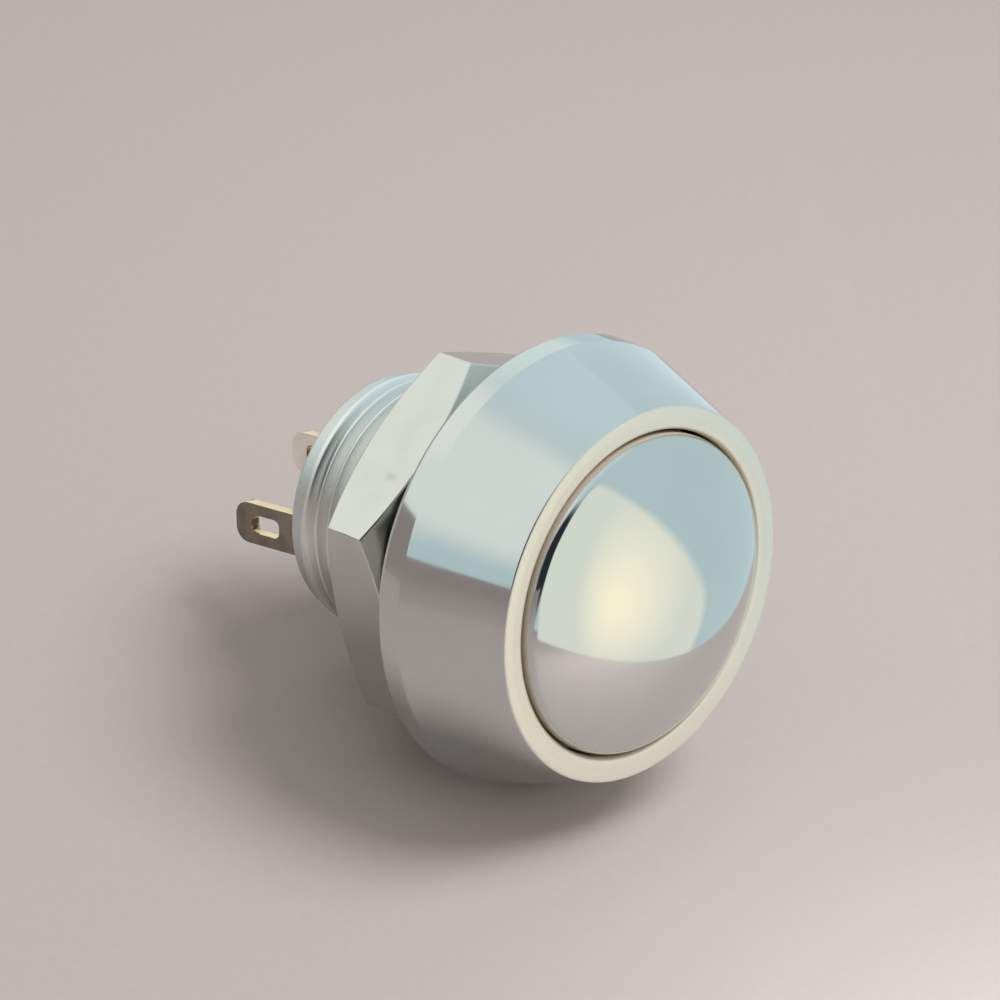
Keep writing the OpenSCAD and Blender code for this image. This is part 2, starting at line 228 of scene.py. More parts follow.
def weigh_normals(piece):
    """Large faces keep their own normals beside small rounded edges."""
    modifier = piece.modifiers.new("weighted normals", "WEIGHTED_NORMAL")
    modifier.keep_sharp = True
    modifier.weight = normal_weight


def stand_for(piece, node, body):
    """The piece takes a CAD node's place."""
    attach(piece, body)
    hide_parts(node)
    return piece


# Depth of the thread over one pitch, as (share of pitch, share of depth)
thread_form = [
    (0.0, 0.0), (0.04, 0.0), (0.0625, 0.03), (0.10, 0.12), (0.22, 0.504),
    (0.34, 0.888), (0.375, 0.97), (0.42, 1.0), (0.58, 1.0), (0.625, 0.97),
    (0.66, 0.888), (0.78, 0.504), (0.90, 0.12), (0.9375, 0.03), (0.96, 0.0),
]


def add_thread(mesh, from_y, to_y):
    """Right-hand thread whose rows follow the helix and run out at both ends."""
    turns = math.ceil((to_y - from_y) / thread_pitch) + 1
    rows = []
    for turn in range(turns + 1):
        for share, depth in thread_form:
            row = []
            for angle in angles():
                y = from_y + thread_pitch * (turn + share - angle / (2 * math.pi))
                run_in = min(max((y - from_y) / thread_pitch, 0), 1)
                run_out = min(max((to_y - y) / thread_pitch, 0), 1)
                y = min(max(y, from_y), to_y)
                row.append(ring_point(bush_r - thread_depth * depth * run_in * run_out, y, angle))
            rows.append(row)
    add_grid(mesh, rows)


def bezel_body():
    """Bezel and threaded bush, turned as one piece."""
    front = [
        (bush_r, collar_l, 0),
        (bush_r, 0, 0),
        (seal_in_r, 0, 0),
        (seal_in_r, -seal_depth, 0),
        (seal_out_r, -seal_depth, 0),
        (seal_out_r, 0, fine_round),
        (rim_r - edge_round, 0, edge_round),
        (rim_r, -2 * edge_round, edge_round),
        (band_r, -band_h, soft_round),
        (face_r, face_y, edge_round),
        (mouth_r, face_y, mouth_round),
        (mouth_r, well_y, 0),
        (gland_bore_r, well_y, 0),
        (gland_bore_r, gland_y, 0),
        (gland_r, gland_y, 0),
        (gland_r, web_y, 0),
        (chamber_r, web_y, 0),
        (chamber_r, base_rear_y, 0),
        (chamber_r - lip_w, base_rear_y, 0),
        (chamber_r - lip_w, bush_end_y, fine_round),
        (tail_r, bush_end_y, 2 * edge_round),
        (tail_r, thread_end_y + bush_r - tail_r, fine_round),
        (bush_r, thread_end_y, 0),
    ]
    mesh = bmesh.new()
    add_turned(mesh, filleted(front, closed=False))
    add_thread(mesh, collar_l, thread_end_y)
    return stand_for(finished(mesh, "bezel_body_visual"), "bezel_body", "housing")


def push_button():
    """Domed actuator with its skirt, stem and spigot."""
    dome_h = dome_y - dome_tip_y
    dome_r = (cap_r ** 2 + dome_h ** 2) / (2 * dome_h)
    centre_y = dome_tip_y + dome_r
    edge_in_r = cap_r - dome_edge_r
    edge_slope = math.asin(edge_in_r / (dome_r - dome_edge_r))
    edge_y = centre_y - (dome_r - dome_edge_r) * math.cos(edge_slope)
    dome = arc(0, centre_y, dome_r, 0, edge_slope, dome_steps)
    edge = arc(edge_in_r, edge_y, dome_edge_r, edge_slope, math.pi / 2, dome_edge_steps)
    rest = [
        (*edge[-1], 0),
        (cap_r, skirt_y, edge_round),
        (cap_r - skirt_t, skirt_y, edge_round),
        (cap_r - skirt_t, roof_y, 0),
        (stem_r, roof_y, 0),
        (stem_r, clip_y - clip_room, 0),
        (clip_groove_r, clip_y - clip_room, 0),
        (clip_groove_r, clip_rear_y + clip_room, 0),
        (stem_r, clip_rear_y + clip_room, 0),
        (stem_r, stem_end_y, 0),
        (spigot_r, stem_end_y, 0),
        (spigot_r, spigot_end_y, 0),
        (0, spigot_end_y, 0),
    ]
    mesh = bmesh.new()
    add_turned(mesh, dome[:-1] + edge[:-1] + filleted(rest, closed=False))
    return stand_for(finished(mesh, "push_button_visual"), "push_button", "button")


def hex_nut():
    """Hexagon nut with both ends chamfered, as columns of points about the axis."""
    sector = math.pi / 3
    mesh = bmesh.new()
    columns = []
    for k in range(nut_steps + 1):
        angle = 2 * math.pi * k / nut_steps + nut_corner_angle
        from_flat = (angle - nut_corner_angle) % sector - sector / 2
        outer_r = nut_flat_r / math.cos(from_flat)
        drop = (outer_r - nut_land_r) * math.tan(nut_chamfer)
        outline = [
            (nut_bore_r, nut_front_y + nut_lead),
            (nut_bore_r + nut_lead, nut_front_y),
            (nut_land_r, nut_front_y),
            (outer_r, nut_front_y + drop),
            (outer_r, nut_rear_y - drop),
            (nut_land_r, nut_rear_y),
            (nut_bore_r + nut_lead, nut_rear_y),
            (nut_bore_r, nut_rear_y - nut_lead),
            (nut_bore_r, nut_front_y + nut_lead),
        ]
        columns.append([ring_point(r, y, angle) for r, y in outline])
    add_grid(mesh, columns)
    piece = finished(mesh, "hex_nut_visual", nut_sharp_angle)
    add_bevel(piece, fine_round)
    return stand_for(piece, "hex_nut", "nut")


def add_bevel(piece, width):
    """Rounded edges, made before the normals are weighed."""
    bevel = piece.modifiers.new("rounded edges", "BEVEL")
    bevel.width = width * MM
    bevel.segments = bevel_steps
    bevel.limit_method = "ANGLE"
    bevel.angle_limit = bevel_angle
    piece.modifiers.move(len(piece.modifiers) - 1, 0)


def coil(name, mean_r, wire, turns, from_y, to_y):
    """Compression spring with closed end turns."""
    steps = wire_steps * turns
    length = to_y - from_y
    active = turns - 2
    mesh = bmesh.new()
    rings = []
    for i in range(steps + 1):
        turn = turns * i / steps
        if turn < 1:
            rise = wire * turn
        elif turn > turns - 1:
            rise = length - wire - wire * (turns - turn)
        else:
            rise = wire + (length - 3 * wire) * (turn - 1) / active
        ring = []
        for side in range(wire_sides + 1):
            around = 2 * math.pi * side / wire_sides
            r = mean_r + wire / 2 * math.cos(around)
            y = from_y + wire / 2 + rise + wire / 2 * math.sin(around)
            ring.append(ring_point(r, y, 2 * math.pi * turn))
        rings.append(ring)
    add_grid(mesh, rings)
    bmesh.ops.remove_doubles(mesh, verts=mesh.verts, dist=join_distance)
    bmesh.ops.holes_fill(mesh, edges=[e for e in mesh.edges if e.is_boundary], sides=0)
    return finished(mesh, name)


def return_spring():
    """Spring under the button, which the button flattens as it goes in; here it gets a mesh of its own."""
    piece = coil("return_spring_visual", return_coil_r, return_wire, return_turns, roof_y, well_y)
    stand_for(piece, "return_spring", "housing")
    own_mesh(piece)
    return piece


def contact_spring():
    """Spring behind the moving contact, which its over-travel flattens; here it gets a mesh of its own."""
    piece = coil("contact_spring_visual", contact_coil_r, contact_wire, contact_turns, pocket_y, cup_floor_y)
    stand_for(piece, "contact_spring", "button")
    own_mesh(piece)
    return piece


# Range in which most of a noise lies
noise_low = 0.3
noise_high = 0.7


class Nodes:
    """A node tree built from a few plain steps."""

    def __init__(self, tree, place):
        self.tree = tree
        self.place = self.node("ShaderNodeTexCoord").outputs[place]

    def node(self, kind, **settings):
        made = self.tree.nodes.new(kind)
        for key, value in settings.items():
            setattr(made, key, value)
        return made

    def link(self, source, target):
        self.tree.links.new(source, target)

    def put(self, socket, value):
        if hasattr(value, "is_output"):
            self.link(value, socket)
        else:
            socket.default_value = value

    def vector(self, operation, *values, scale=None):
        made = self.node("ShaderNodeVectorMath", operation=operation)
        for socket, value in zip(made.inputs, values):
            self.put(socket, value)
        if scale is not None:
            made.inputs["Scale"].default_value = scale
        return made.outputs["Value" if operation in ("LENGTH", "DOT_PRODUCT") else "Vector"]

    def math(self, operation, *values):
        made = self.node("ShaderNodeMath", operation=operation)
        for socket, value in zip(made.inputs, values):
            self.put(socket, value)
        return made.outputs[0]

    def length(self, *parts):
        """Root of the sum of two squares."""
        first, second = [self.math("MULTIPLY", part, part) for part in parts]
        return self.math("SQRT", self.math("ADD", first, second))

    def spread(self, value, low, high, from_low=noise_low, from_high=noise_high, smooth=False):
        made = self.node("ShaderNodeMapRange")
        made.interpolation_type = "SMOOTHSTEP" if smooth else "LINEAR"
        self.link(value, made.inputs["Value"])
        made.inputs["From Min"].default_value = from_low
        made.inputs["From Max"].default_value = from_high
        made.inputs["To Min"].default_value = low
        made.inputs["To Max"].default_value = high
        return made.outputs["Result"]

    def mix(self, share, first, second):
        made = self.node("ShaderNodeMix", data_type="RGBA")
        self.put(made.inputs["Factor"], share)
        for key, colour in (("A", first), ("B", second)):
            socket = next(s for s in made.inputs if s.name == key and s.type == "RGBA")
            self.put(socket, (*colour, 1) if isinstance(colour, tuple) else colour)
        return next(s for s in made.outputs if s.type == "RGBA")


class Shade(Nodes):
    """A node material, with textures in millimetres."""

    def __init__(self, name):
        self.material = bpy.data.materials.new(name)
        self.material.use_nodes = True
        super().__init__(self.material.node_tree, "Object")
        self.shader = self.tree.nodes["Principled BSDF"]
        self.place = self.vector("SCALE", self.place, scale=1 / MM)

    def noise(self, scale, detail=2, place=None):
        made = self.node("ShaderNodeTexNoise")
        self.link(place or self.place, made.inputs["Vector"])
        made.inputs["Scale"].default_value = scale
        made.inputs["Detail"].default_value = detail
        return made.outputs["Fac"]

    def radius(self):
        """Distance from the part's axis."""
        return self.vector("LENGTH", self.vector("MULTIPLY", self.place, (1, 0, 1)))

    def along(self):
        """Place along the part's axis."""
        return self.vector("DOT_PRODUCT", self.place, (0, 1, 0))

    def turning(self):
        """Place that is the same all round the axis, so that textures become turning marks."""
        made = self.node("ShaderNodeCombineXYZ")
        self.link(self.radius(), made.inputs["X"])
        self.link(self.along(), made.inputs["Y"])
        return made.outputs["Vector"]

    def below(self, value, limit, soft):
        """1 where a value is under its limit and 0 over it, with a soft step."""
        return self.spread(value, 1.0, 0.0, from_low=limit - soft, from_high=limit + soft)

    def over(self, share, under, upper):
        """A number that goes over into another one."""
        return self.math("ADD", under, self.math("MULTIPLY", share, self.math("SUBTRACT", upper, under)))

    def bump(self, height, strength, depth):
        made = self.node("ShaderNodeBump")
        made.inputs["Strength"].default_value = strength
        made.inputs["Distance"].default_value = depth * MM
        self.link(height, made.inputs["Height"])
        self.link(made.outputs["Normal"], self.shader.inputs["Normal"])

    def set(self, **sockets):
        names = {
            "colour": "Base Color",
            "roughness": "Roughness",
            "metallic": "Metallic",
            "specular": "Specular IOR Level",
        }
        for key, value in sockets.items():
            value = (*value, 1) if isinstance(value, tuple) else value
            self.put(self.shader.inputs[names[key]], value)
        return self.material


# Turned and drawn metal: how fine the handling and the marks are, how much rougher both make the metal,
# and how deep the marks are
mark_depth = 0.004
turned_handling_scale = 0.35
turned_handling_gain = 1.7
turned_mark_scale = 14.0
turned_mark_roughness = 0.02
drawn_handling_scale = 0.5
drawn_handling_gain = 1.6
drawn_mark_scale = 3.0
drawn_mark_stretch = (1.0, 8.0, 1.0)
drawn_mark_roughness = 0.03


def turning_marks(shade):
    """Fine rings about the axis."""
    return shade.noise(turned_mark_scale, detail=3, place=shade.turning())


def turned_finish(shade, rings, light, dark, smooth, marks):
    """Colour and roughness of plated metal that was turned, with faint handling."""
    handling = shade.noise(turned_handling_scale, detail=4)
    colour = shade.mix(shade.spread(handling, 0.0, 1.0), light, dark)
    handled = shade.spread(handling, smooth, smooth * turned_handling_gain)
    roughness = shade.math("ADD", handled, shade.spread(rings, 0.0, turned_mark_roughness))
    shade.bump(rings, marks, mark_depth)
    return colour, roughness


def plate_metal(name, light, dark, smooth, marks):
    """Turned metal with one finish all over."""
    shade = Shade(name)
    colour, roughness = turned_finish(shade, turning_marks(shade), light, dark, smooth, marks)
    return shade.set(colour=colour, roughness=roughness, metallic=1.0)


# Finishes of the front: the satin ring, the duller thread with a brighter colour that is painted light, and
# painted
# shade in the gap round the dome: a matte brown coat that darkens with depth
ring_colour = (0.83, 0.80, 0.75)
ring_roughness = 0.62
ring_unevenness = 0.15
ring_fade = 0.03
# Brighter than the plate: painted light on the thread's turns
thread_painted_light_colour = (0.80, 0.80, 0.79)
thread_dulling = 0.26
thread_fade = 0.1
# Painted shade of the gap: a matte brown coat in place of the plate, lighter at the lip and darker with
# depth
gap_shade_colour = (0.60, 0.52, 0.40)
gap_deep_shade_colour = (0.12, 0.09, 0.065)
gap_shade_roughness = 0.85
gap_shade_light_depth = 0.35
gap_shade_depth = 1.0
gap_shade_fade = 0.2
# The painted gap shade on the mouth's wall ends at this share of the mouth's rounding
gap_shade_edge_share = 1 / 3
gap_shade_edge_fade = 0.05
# The painted gap shade on the dome begins and is full at these depths under its side
gap_shade_side_from = 0.05
gap_shade_side_full = 0.01


def gap_shade_tone(shade, along):
    """Painted shade of the gap: a brown tone that darkens with its depth in the gap."""
    depth = shade.spread(along, 0.0, 1.0, from_low=face_y + gap_shade_light_depth, from_high=face_y + gap_shade_depth)
    return shade.mix(depth, gap_shade_colour, gap_deep_shade_colour)


def bezel_plate(name, light, dark, smooth, marks):
    """Bright plate with a satin front ring, a duller thread brightened by painted light, and painted gap
    shade on the mouth's wall.
    """
    shade = Shade(name)
    rings = turning_marks(shade)
    colour, roughness = turned_finish(shade, rings, light, dark, smooth, marks)
    radius = shade.radius()
    along = shade.along()
    thread = shade.spread(along, 0.0, 1.0, from_low=0.0, from_high=collar_l)
    # The turns get a brighter colour: painted light that lifts them out of the nut's shade
    turns = shade.math("MULTIPLY", thread, shade.below(along, thread_end_y, thread_fade))
    colour = shade.mix(turns, colour, thread_painted_light_colour)
    roughness = shade.math("ADD", roughness, shade.math("MULTIPLY", thread, thread_dulling))
    # Painted shade of the gap on the mouth's wall, next to the satin ring
    front = shade.below(along, face_y + gap_shade_depth, gap_shade_fade)
    ring = shade.math("MULTIPLY", front, shade.below(radius, face_r, ring_fade))
    inside = shade.below(radius, mouth_r + mouth_round * gap_shade_edge_share, gap_shade_edge_fade)
    gap_shade = shade.math("MULTIPLY", front, inside)
    least = ring_roughness * (1 - ring_unevenness)
    most = ring_roughness * (1 + ring_unevenness)
    satin = shade.spread(rings, least, most)
    colour = shade.mix(gap_shade, shade.mix(ring, colour, ring_colour), gap_shade_tone(shade, along))
    roughness = shade.over(gap_shade, shade.over(ring, roughness, satin), gap_shade_roughness)
    return shade.set(colour=colour, roughness=roughness, metallic=shade.math("SUBTRACT", 1.0, gap_shade))


def dome_plate(name, light, dark, smooth, marks):
    """Mirror plate with painted gap shade on the dome's side, in the gap."""
    shade = Shade(name)
    colour, roughness = turned_finish(shade, turning_marks(shade), light, dark, smooth, marks)
    along = shade.along()
    front = shade.below(along, face_y + gap_shade_depth, gap_shade_fade)
    side_from = cap_r - gap_shade_side_from
    side_full = cap_r - gap_shade_side_full
    side = shade.spread(shade.radius(), 0.0, 1.0, from_low=side_from, from_high=side_full)
    # Painted shade of the gap on the dome's side
    gap_shade = shade.math("MULTIPLY", front, side)
    colour = shade.mix(gap_shade, colour, gap_shade_tone(shade, along))
    roughness = shade.over(gap_shade, roughness, gap_shade_roughness)
    return shade.set(colour=colour, roughness=roughness, metallic=shade.math("SUBTRACT", 1.0, gap_shade))


def drawn_finish(shade, light, dark, smooth, marks):
    """Colour and roughness of plate over milled and pressed faces, with straight drawn marks."""
    stretched = shade.vector("MULTIPLY", shade.place, drawn_mark_stretch)
    drawn = shade.noise(drawn_mark_scale, detail=4, place=stretched)
    handling = shade.noise(drawn_handling_scale, detail=3)
    colour = shade.mix(shade.spread(handling, 0.0, 1.0), light, dark)
    handled = shade.spread(handling, smooth, smooth * drawn_handling_gain)
    roughness = shade.math("ADD", handled, shade.spread(drawn, 0.0, drawn_mark_roughness))
    shade.bump(drawn, marks, mark_depth)
    return colour, roughness


def flat_metal(name, light, dark, smooth, marks):
    """Drawn metal with one finish all over."""
    shade = Shade(name)
    colour, roughness = drawn_finish(shade, light, dark, smooth, marks)
    return shade.set(colour=colour, roughness=roughness, metallic=1.0)


# Faint smudge on the nut's upper left flat, longer along the axis than across it
smudge_place = (-6.52, 2.87, 4.85)
smudge_r = 0.40
smudge_stretch = (1.25, 0.75, 1.25)
smudge_colour = (0.26, 0.27, 0.26)
smudge_strength = 0.3


def nut_metal(name, light, dark, smooth, marks):
    """Drawn metal with a smudge from handling."""
    shade = Shade(name)
    colour, roughness = drawn_finish(shade, light, dark, smooth, marks)
    offset = shade.vector("SUBTRACT", shade.place, smudge_place)
    away = shade.vector("LENGTH", shade.vector("MULTIPLY", offset, smudge_stretch))
    smudge = shade.spread(away, smudge_strength, 0.0, from_low=0.0, from_high=smudge_r, smooth=True)
    colour = shade.mix(smudge, colour, smudge_colour)
    return shade.set(colour=colour, roughness=roughness, metallic=1.0)


# Lugs: bare brass of the cut edges, how far a face looks along X where plate begins and is full, the tarnish
# and the fine grain
brass_light = (0.92, 0.70, 0.46)
brass_dark = (0.84, 0.60, 0.34)
plate_from = 0.55
plate_full = 0.9
tarnish_scale = 1.2
tarnish_roughness = 0.14
lug_grain_scale = 9.0
lug_grain_depth = 0.01


def lug_metal(name, light, dark, smooth, grain):
    """Plated sheet, tarnished in places, with bare brass where it was cut."""
    shade = Shade(name)
    normal = shade.node("ShaderNodeTexCoord").outputs["Normal"]
    facing = shade.math("ABSOLUTE", shade.vector("DOT_PRODUCT", normal, (1, 0, 0)))
    plated = shade.spread(facing, 0.0, 1.0, from_low=plate_from, from_high=plate_full)
    tarnish = shade.noise(tarnish_scale, detail=5)
    share = shade.spread(tarnish, 0.0, 1.0)
    face = shade.mix(share, light, dark)
    edge = shade.mix(share, brass_light, brass_dark)
    colour = shade.mix(plated, edge, face)
    roughness = shade.spread(tarnish, smooth, smooth + tarnish_roughness)
    shade.bump(shade.noise(lug_grain_scale, detail=3), grain, lug_grain_depth)
    return shade.set(colour=colour, roughness=roughness, metallic=1.0)


# Mouldings: how fine their clouds and pores are, the pores' depth, and how much rougher they make
# the surface
cloud_scale = 0.8
pore_scale = 14.0
pore_depth = 0.02
pore_roughness = 0.12


def moulded(name, light, dark, smooth, grain):
    """Moulded plastic or rubber with a fine grain."""
    shade = Shade(name)
    cloud = shade.noise(cloud_scale, detail=4)
    pores = shade.noise(pore_scale, detail=3)
    shade.bump(pores, grain, pore_depth)
    colour = shade.mix(shade.spread(cloud, 0.0, 1.0), light, dark)
    roughness = shade.spread(pores, smooth, smooth + pore_roughness)
    return shade.set(colour=colour, roughness=roughness, metallic=0.0)


def dress(piece, material):
    """One material all over a piece."""
    piece.data.materials.clear()
    piece.data.materials.append(material)


def refine(node):
    """Joins a CAD node's split corners and rounds its edges a little."""
    piece = nodes[node]
    weld = piece.modifiers.new("joined corners", "WELD")
    weld.merge_threshold = cad_join_distance
    flats = piece.modifiers.new("whole flat faces", "DECIMATE")
    flats.decimate_type = "DISSOLVE"
    flats.angle_limit = cad_flat_angle
    bevel = piece.modifiers.new("rounded edges", "BEVEL")
    bevel.width = cad_round * MM
    bevel.segments = cad_bevel_steps
    bevel.limit_method = "ANGLE"
    bevel.angle_limit = cad_bevel_angle
    weigh_normals(piece)


# Camera as the photograph was taken: the direction it looks from, its distance from the front ring's
# centre and the pixel at which that centre lies
image_px = 1000
camera_azimuth = math.radians(-44.93)
camera_elevation = math.radians(22.075)
camera_distance = 161.04
camera_lens = 135.0
camera_sensor = 36.0
ring_centre_px = (643.8, 595.5)
# Nearest and farthest place that the camera shows, in metres
camera_near = 0.01
camera_far = 10


def camera_axes():
    """Directions to the right of, above and behind the camera."""
    a = camera_azimuth
    e = camera_elevation
    right = Vector((math.cos(a), math.sin(a), 0))
    back = Vector((math.sin(a) * math.cos(e), -math.cos(a) * math.cos(e), math.sin(e)))
    return right, back.cross(right), back


def make_camera():
    """Camera level with the part's own frame, with no shift."""
    data = bpy.data.cameras.new("camera")
    data.lens = camera_lens
    data.sensor_width = camera_sensor
    data.clip_start = camera_near
    data.clip_end = camera_far
    focal_px = camera_lens / camera_sensor * image_px
    right, up, back = camera_axes()
    across = (ring_centre_px[0] - image_px / 2) / focal_px * camera_distance
    above = (image_px / 2 - ring_centre_px[1]) / focal_px * camera_distance
    ring_centre = Vector((0, face_y, 0))
    place = (ring_centre + camera_distance * back - across * right - above * up) * MM
    camera = bpy.data.objects.new("camera", data)
    camera.matrix_world = Matrix.Translation(place) @ Matrix((right, up, back)).transposed().to_4x4()
    bpy.context.scene.collection.objects.link(camera)
    bpy.context.scene.camera = camera


# Studio: the part lies on its rim and on a corner of its nut, so the floor leans against the part's frame
floor_lean = math.radians(15)
floor_r = 150.0
floor_sides = 96
floor_fade_r = 110.0
floor_gone_r = 142.5
floor_gap = 0.02
floor_tone = (0.56, 0.50, 0.475)
floor_grain = 1.03
floor_grain_scale = 2.0
floor_roughness = 0.8
floor_specular = 0.1
# Light of the room on matte surfaces, and the backdrop that metal shows
room_light = (0.50, 0.50, 0.50)
backdrop = (0.64, 0.79, 0.81)
# Soft lamp from the right, which brings matte surfaces to a plain level and throws the shadow
lamp_azimuth = 50
lamp_elevation = 66
lamp_distance = 200.0
lamp_size = 110.0
lamp_power = 0.245
# Small lamp over the floor before the part: the pool of light that the dome mirrors
pool_place = (2.0, -38.0)
pool_height = 80.0
pool_size = 20.0
pool_spread = math.radians(44)
pool_power = 0.0024
# Lights and dark places of the studio for reflections: azimuth from the part's front towards +X,
# elevation over the floor, the angles from there at which the tone is full and gone, and the tone
studio_tones = [
    (180, 70, 10, 44, (0.76, 0.89, 0.89)),
    (-116, 46, 20, 36, (0.99, 1.04, 0.99)),
    (-173, 30, 14, 36, (1.08, 1.11, 1.04)),
    (130, 42, 10, 40, (0.75, 0.91, 0.95)),
    (147, 25, 12, 24, (0.91, 1.05, 1.02)),
    (-133, 20, 8, 18, (0.99, 1.04, 0.99)),
    (-10, 36, 4, 34, (0.36, 0.46, 0.48)),
    (-54, 32, 24, 40, (0.03, 0.035, 0.04)),
]


def aim(azimuth_deg, elevation_deg):
    """Direction in the part's frame from angles over the leaning floor."""
    azimuth = math.radians(azimuth_deg)
    elevation = math.radians(elevation_deg)
    level = math.cos(elevation)
    over_floor = Vector((math.sin(azimuth) * level, -math.cos(azimuth) * level, math.sin(elevation)))
    return Matrix.Rotation(floor_lean, 3, "X") @ over_floor


def make_world():
    """Pale backdrop, which reflections see with the studio's lights and dark places."""
    world = bpy.data.worlds.new("studio")
    world.use_nodes = True
    sky = Nodes(world.node_tree, "Generated")
    colour = backdrop
    for azimuth, elevation, full, gone, tone in studio_tones:
        near = sky.vector("DOT_PRODUCT", sky.place, aim(azimuth, elevation))
        full_at = math.cos(math.radians(full))
        gone_at = math.cos(math.radians(gone))
        share = sky.spread(near, 0.0, 1.0, from_low=gone_at, from_high=full_at, smooth=True)
        colour = sky.mix(share, colour, tone)
    path = sky.node("ShaderNodeLightPath")
    mirrored = sky.math("MAXIMUM", path.outputs["Is Glossy Ray"], path.outputs["Is Transmission Ray"])
    colour = sky.mix(mirrored, room_light, colour)
    colour = sky.mix(path.outputs["Is Camera Ray"], colour, backdrop)
    sky.link(colour, sky.tree.nodes["Background"].inputs["Color"])
    bpy.context.scene.world = world


def floor_matrix():
    """Frame of the floor, with its third axis square to it and its origin under the rim."""
    lean = Matrix.Rotation(floor_lean, 4, "X")
    return Matrix.Translation(Vector((0, 0, -rim_r - floor_gap)) * MM) @ lean


def make_floor():
    """Pale floor that fades into the backdrop and is seen from above only."""
    mesh = bmesh.new()
    bmesh.ops.create_circle(mesh, cap_ends=True, segments=floor_sides, radius=floor_r * MM)
    data = bpy.data.meshes.new("floor")
    mesh.to_mesh(data)
    mesh.free()
    floor = bpy.data.objects.new("floor", data)
    floor.matrix_world = floor_matrix()
    bpy.context.scene.collection.objects.link(floor)
    shade = Shade("floor_paper")
    away = shade.vector("LENGTH", shade.place)
    fade = shade.spread(away, 0.0, 1.0, from_low=floor_fade_r, from_high=floor_gone_r)
    seen = shade.node("ShaderNodeLightPath").outputs["Is Camera Ray"]
    grain = shade.noise(floor_grain_scale, detail=4)
    light = tuple(floor_grain * c for c in floor_tone)
    colour = shade.mix(shade.spread(grain, 0.0, 1.0), floor_tone, light)
    shade.set(colour=colour, roughness=floor_roughness, metallic=0.0, specular=floor_specular)
    clear = shade.node("ShaderNodeBsdfTransparent")
    under = shade.node("ShaderNodeNewGeometry").outputs["Backfacing"]
    blend = shade.node("ShaderNodeMixShader")
    shade.link(shade.math("MAXIMUM", shade.math("MULTIPLY", fade, seen), under), blend.inputs["Fac"])
    shade.link(shade.shader.outputs["BSDF"], blend.inputs[1])
    shade.link(clear.outputs["BSDF"], blend.inputs[2])
    shade.link(blend.outputs["Shader"], shade.tree.nodes["Material Output"].inputs["Surface"])
    data.materials.append(shade.material)


def make_lamp(name, place, towards, size, spread, power):
    """Round lamp for the floor and matte surfaces. Metal mirrors the studio's own tones instead."""
    data = bpy.data.lights.new(name, "AREA")
    data.shape = "DISK"
    data.size = size * MM
    data.spread = spread
    data.energy = power
    lamp = bpy.data.objects.new(name, data)
    lamp.matrix_world = Matrix.Translation(place) @ towards.to_track_quat("Z", "Y").to_matrix().to_4x4()
    lamp.visible_glossy = False
    bpy.context.scene.collection.objects.link(lamp)


def make_lamps():
    """The soft lamp and the pool's lamp."""
    towards = aim(lamp_azimuth, lamp_elevation)
    make_lamp("soft_lamp", towards * lamp_distance * MM, towards, lamp_size, math.pi, lamp_power)
    over_pool = floor_matrix() @ (Vector((*pool_place, pool_height)) * MM)
    straight_up = aim(0, 90)
    make_lamp("pool_lamp", over_pool, straight_up, pool_size, pool_spread, pool_power)


def make_card(name, corners):
    """A studio card from corners in millimetres, seen only in reflections."""
    mesh = bmesh.new()
    mesh.faces.new([mesh.verts.new(Vector(c) * MM) for c in corners])
    data = bpy.data.meshes.new(name)
    mesh.to_mesh(data)
    mesh.free()
    card = bpy.data.objects.new(name, data)
    card.visible_camera = False
    card.visible_diffuse = False
    card.visible_shadow = False
    bpy.context.scene.collection.objects.link(card)
    shade = Shade(name)
    emission = shade.node("ShaderNodeEmission")
    shade.link(emission.outputs["Emission"], shade.tree.nodes["Material Output"].inputs["Surface"])
    data.materials.append(shade.material)
    return shade, emission.inputs["Color"]


# Glowing card as a reflector that stands on the floor to the right of the part: where its foot runs, how far
# it reaches along it and up, the tone of its far end, and the painted pool of light on it, which ends on the
# right at a slanting edge, with its brighter painted heart
reflector_foot = Vector((14.0, -19.0))
reflector_run = Vector((0.63, 0.78)).normalized()
reflector_ends = (-80.0, 70.0)
reflector_h = 60.0
far_from = 15.0
far_to = 60.0
far_tone = (0.75, 0.91, 0.95)
lit_side = 3.5
lit_slant_foot = 8.4
lit_slant = math.radians(32)
lit_corner = 3.0
lit_soft = 0.7
painted_lit_tone = (0.98, 1.02, 0.90)
heart_along = -19.0
heart_h = 14.0
heart_r = 19.0
heart_full_r = 2.85
painted_heart_tone = (1.45, 1.33, 1.00)


def on_reflector(along, height):
    """A point of the reflector, from its foot on the floor."""
    place = reflector_foot + reflector_run * along
    floor_z = -rim_r + math.tan(floor_lean) * place.y
    return Vector((place.x, place.y, floor_z + height))


